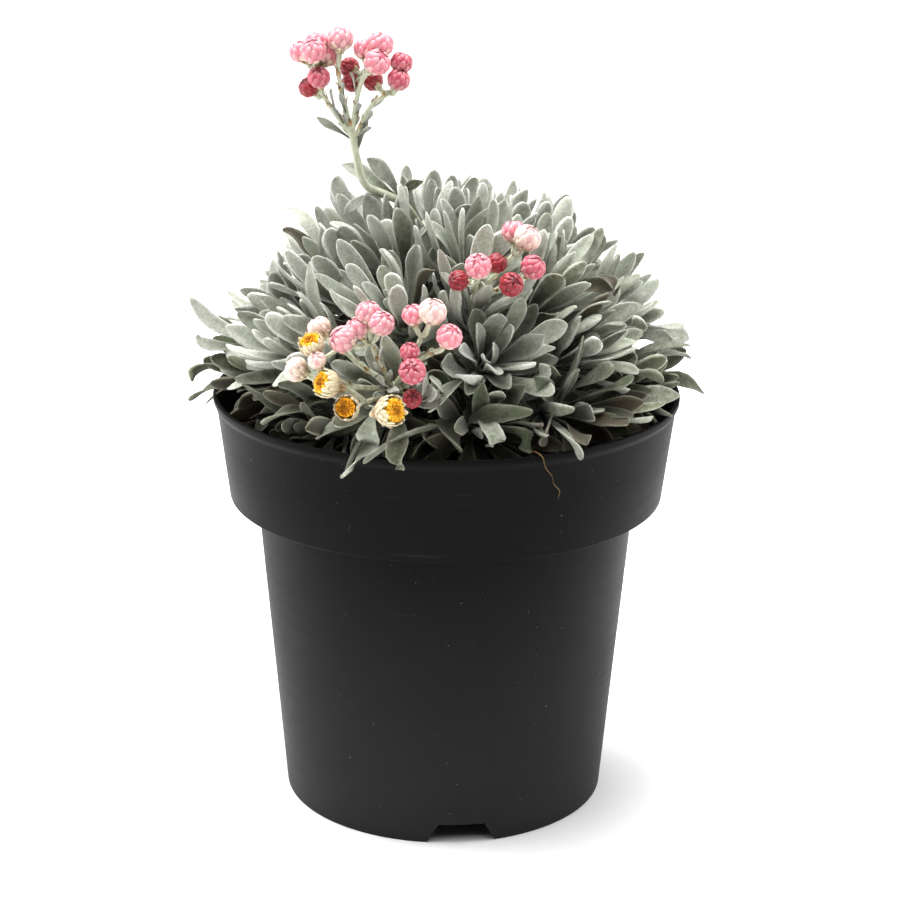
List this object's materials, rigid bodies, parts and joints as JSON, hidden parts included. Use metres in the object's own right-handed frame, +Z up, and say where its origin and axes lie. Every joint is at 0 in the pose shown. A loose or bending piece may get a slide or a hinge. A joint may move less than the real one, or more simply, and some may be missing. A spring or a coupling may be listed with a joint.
{
  "type": "potted plant",
  "caption": "Dwarf everlasting in a round nursery pot: a dome of silver felted leaves with sprays of papery pink flower heads, some open round a yellow disc.",
  "frame": {"origin": "middle of the pot's foot, on the surface that the pot stands on", "axes": "+Z up the pot's axis, -Y towards the front, where the lowest flower spray is, and +X to the right"},
  "size_m": [0.1878, 0.1986, 0.3066],
  "materials": {
    "pot_plastic": "satin black moulded polypropylene",
    "potting_mix": "damp crumbly peat and bark",
    "felted_leaf": "silver grey felt of fine hairs over green",
    "pink_bracts": "papery, faintly glossy",
    "rose_bracts": "papery, faintly glossy",
    "red_bracts": "papery, faintly glossy",
    "pale_bracts": "papery, faintly glossy",
    "cream_bracts": "dry and papery",
    "disc": "tufted tiny florets"
  },
  "bodies": {
    "root": {"pot": "pot_plastic", "soil": "potting_mix", "shoot_rim_front_left": "felted_leaf", "shoot_rim_front": "felted_leaf", "shoot_rim_front_right": "felted_leaf", "shoot_rim_right": "felted_leaf", "shoot_rim_back_right": "felted_leaf", "shoot_rim_back": "felted_leaf", "shoot_rim_back_left": "felted_leaf", "shoot_rim_left": "felted_leaf", "flowering_shoot_front": "felted_leaf", "shoot_low_front": "felted_leaf", "shoot_low_front_right": "felted_leaf", "shoot_low_right": "felted_leaf", "shoot_low_back_right": "felted_leaf", "shoot_low_back": "felted_leaf", "shoot_low_back_left": "felted_leaf", "shoot_low_left": "felted_leaf", "shoot_low_front_left": "felted_leaf", "shoot_mid_front_left": "felted_leaf", "flowering_shoot_middle": "felted_leaf", "shoot_mid_right": "felted_leaf", "shoot_mid_back_right": "felted_leaf", "shoot_mid_back": "felted_leaf", "shoot_mid_back_left": "felted_leaf", "shoot_mid_left": "felted_leaf", "shoot_top_front": "felted_leaf", "shoot_top_left": "felted_leaf", "flowering_shoot_top": "felted_leaf", "shoot_top_right": "felted_leaf", "shoot_crown": "felted_leaf", "heads_top_left": "pink_bracts", "heads_top_left_low": "red_bracts", "head_top_tallest": "pink_bracts", "heads_top_inner": "red_bracts", "heads_top_right": "pink_bracts", "heads_top_right_low": "pink_bracts", "head_top_back": "red_bracts", "heads_middle_pale": "pale_bracts", "head_middle_front": "pink_bracts", "head_middle_right": "rose_bracts", "head_middle_low": "red_bracts", "head_middle_inner": "red_bracts", "head_middle_left": "red_bracts", "head_front_cream_bud": "pale_bracts", "head_front_open_upper": "cream_bracts", "head_front_open_upper_disc": "disc", "head_front_bud": "pale_bracts", "head_front_outer": "pale_bracts", "head_front_open_left": "cream_bracts", "head_front_open_left_disc": "disc", "head_front_open_low": "cream_bracts", "head_front_open_low_disc": "disc", "head_front_open_right": "cream_bracts", "head_front_open_right_disc": "disc", "heads_front_left": "pink_bracts", "heads_front_white": "pale_bracts", "head_front_right": "pink_bracts", "heads_front_rose": "rose_bracts", "head_front_dark": "red_bracts"}
  },
  "joints": []
}
